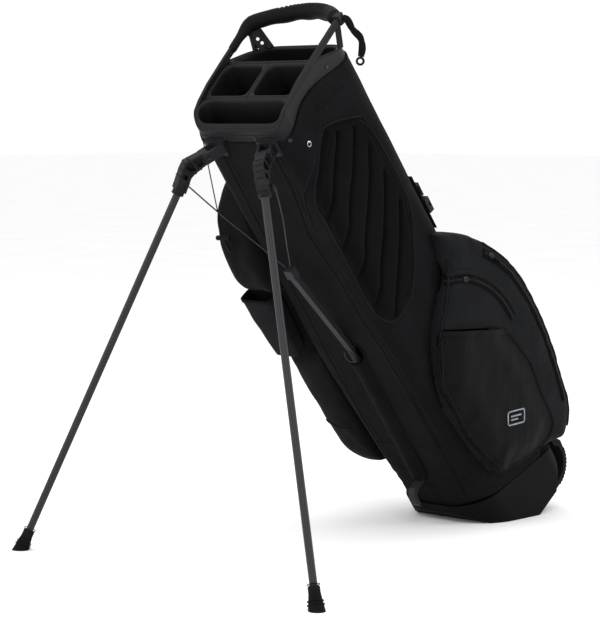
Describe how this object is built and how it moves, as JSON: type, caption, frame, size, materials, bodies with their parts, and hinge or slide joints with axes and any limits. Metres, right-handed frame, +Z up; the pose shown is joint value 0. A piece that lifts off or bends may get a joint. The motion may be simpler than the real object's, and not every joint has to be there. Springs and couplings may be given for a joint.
{
  "type": "golf stand bag",
  "caption": "Golf stand bag leaning on folding legs, with divided open top, carry handle, zipped side pockets and a floor-pressed foot plate that swings the legs out.",
  "frame": {"origin": "centre of the sole where the bag stands on the floor", "axes": "+Z up, -X towards the legs and the leaning top, -Y the flank with the ball pocket"},
  "size_m": [0.8936, 0.6486, 0.837],
  "materials": {
    "fabric": "matte woven",
    "zip_tape": "fine woven tape",
    "moulding": "satin moulded",
    "rod_plastic": "satin moulded",
    "leg_tube": "dark anodised, satin",
    "rubber": "matte",
    "steel": "dark nickel",
    "foam": "felt on foam"
  },
  "bodies": {
    "bag": {"top_cuff": "moulding", "top_divider": "moulding", "front_divider": "fabric", "rear_divider": "fabric", "centre_divider": "fabric", "body_shell": "fabric", "base_tub": "moulding", "sole_hinge_pin": "steel", "floor_pad": "foam", "body_stays": "steel", "base_grab_handle": "rubber", "spine_channel": "fabric", "hip_pad": "fabric", "ball_pocket": "fabric", "slip_pocket": "fabric", "valuables_zip": "zip_tape", "ball_pocket_zip": "zip_tape", "ball_zip_pull": "steel", "apparel_pocket": "fabric", "bottle_sleeve": "fabric", "apparel_zip": "zip_tape", "strap_loop": "moulding", "strap_buckle": "moulding", "pocket_tab": "fabric", "pocket_toggle": "zip_tape", "flank_snaps": "steel", "cuff_screws": "steel", "pocket_cord": "zip_tape", "handle_frame": "moulding", "handle_grip": "rubber", "handle_tether": "rubber", "near_leg_mount": "moulding", "far_leg_mount": "moulding", "leg_hinge_pins": "steel"},
    "near_leg": {"near_leg_bracket": "moulding", "near_leg_tube": "leg_tube", "near_foot": "rubber"},
    "far_leg": {"far_leg_bracket": "moulding", "far_leg_tube": "leg_tube", "far_foot": "rubber"},
    "rod": {"actuator_rod": "rod_plastic"},
    "near_wire": {"near_wire": "steel"},
    "far_wire": {"far_wire": "steel"},
    "foot_plate": {"foot_plate": "moulding"},
    "valuables_zip_slider": {"valuables_zip_slider": "steel"},
    "apparel_zip_slider": {"apparel_zip_slider": "steel"}
  },
  "joints": [
    {"name": "near_leg_fold", "type": "hinge", "parent": "bag", "child": "near_leg", "pos_m": [-0.59675, -0.0612, 0.60617], "axis": [0.3637, -0.891, 0.2717], "range_deg": [0, 53]},
    {"name": "far_leg_fold", "type": "hinge", "parent": "bag", "child": "far_leg", "pos_m": [-0.59675, 0.0612, 0.60617], "axis": [-0.3637, -0.891, -0.2717], "range_deg": [0, 53]},
    {"name": "rod_slide", "type": "slide", "parent": "bag", "child": "rod", "axis": [0.5985, 0, -0.8011], "range_m": [0, 0.0335]},
    {"name": "near_wire_swing", "type": "hinge", "parent": "rod", "child": "near_wire", "pos_m": [-0.4818, -0.004, 0.4354], "axis": [-0.5954, 0.8029, -0.0277], "range_deg": [0, 12.46]},
    {"name": "far_wire_swing", "type": "hinge", "parent": "rod", "child": "far_wire", "pos_m": [-0.4818, 0.004, 0.4354], "axis": [0.5954, 0.8029, 0.0277], "range_deg": [0, 12.46]},
    {"name": "foot_plate_hinge", "type": "hinge", "parent": "bag", "child": "foot_plate", "pos_m": [0.024, 0, 0.0085], "axis": [0, -1, 0], "range_deg": [0, 14.2]},
    {"name": "valuables_zip_travel", "type": "hinge", "parent": "bag", "child": "valuables_zip_slider", "pos_m": [-0.22296, -0.121, 0.24931], "axis": [0, 1, 0], "range_deg": [-4, 40]},
    {"name": "apparel_zip_travel", "type": "slide", "parent": "bag", "child": "apparel_zip_slider", "axis": [0.5985, 0, -0.8011], "range_m": [0, 0.33]}
  ],
  "couplings": [
    {"joint": "far_leg_fold", "follows": "near_leg_fold", "ratio": 1},
    {"joint": "rod_slide", "follows": "near_leg_fold", "m_per_rad": 0.035621},
    {"joint": "near_wire_swing", "follows": "near_leg_fold", "ratio": 0.23134},
    {"joint": "far_wire_swing", "follows": "near_leg_fold", "ratio": 0.23134},
    {"joint": "foot_plate_hinge", "follows": "near_leg_fold", "ratio": 0.26415}
  ]
}
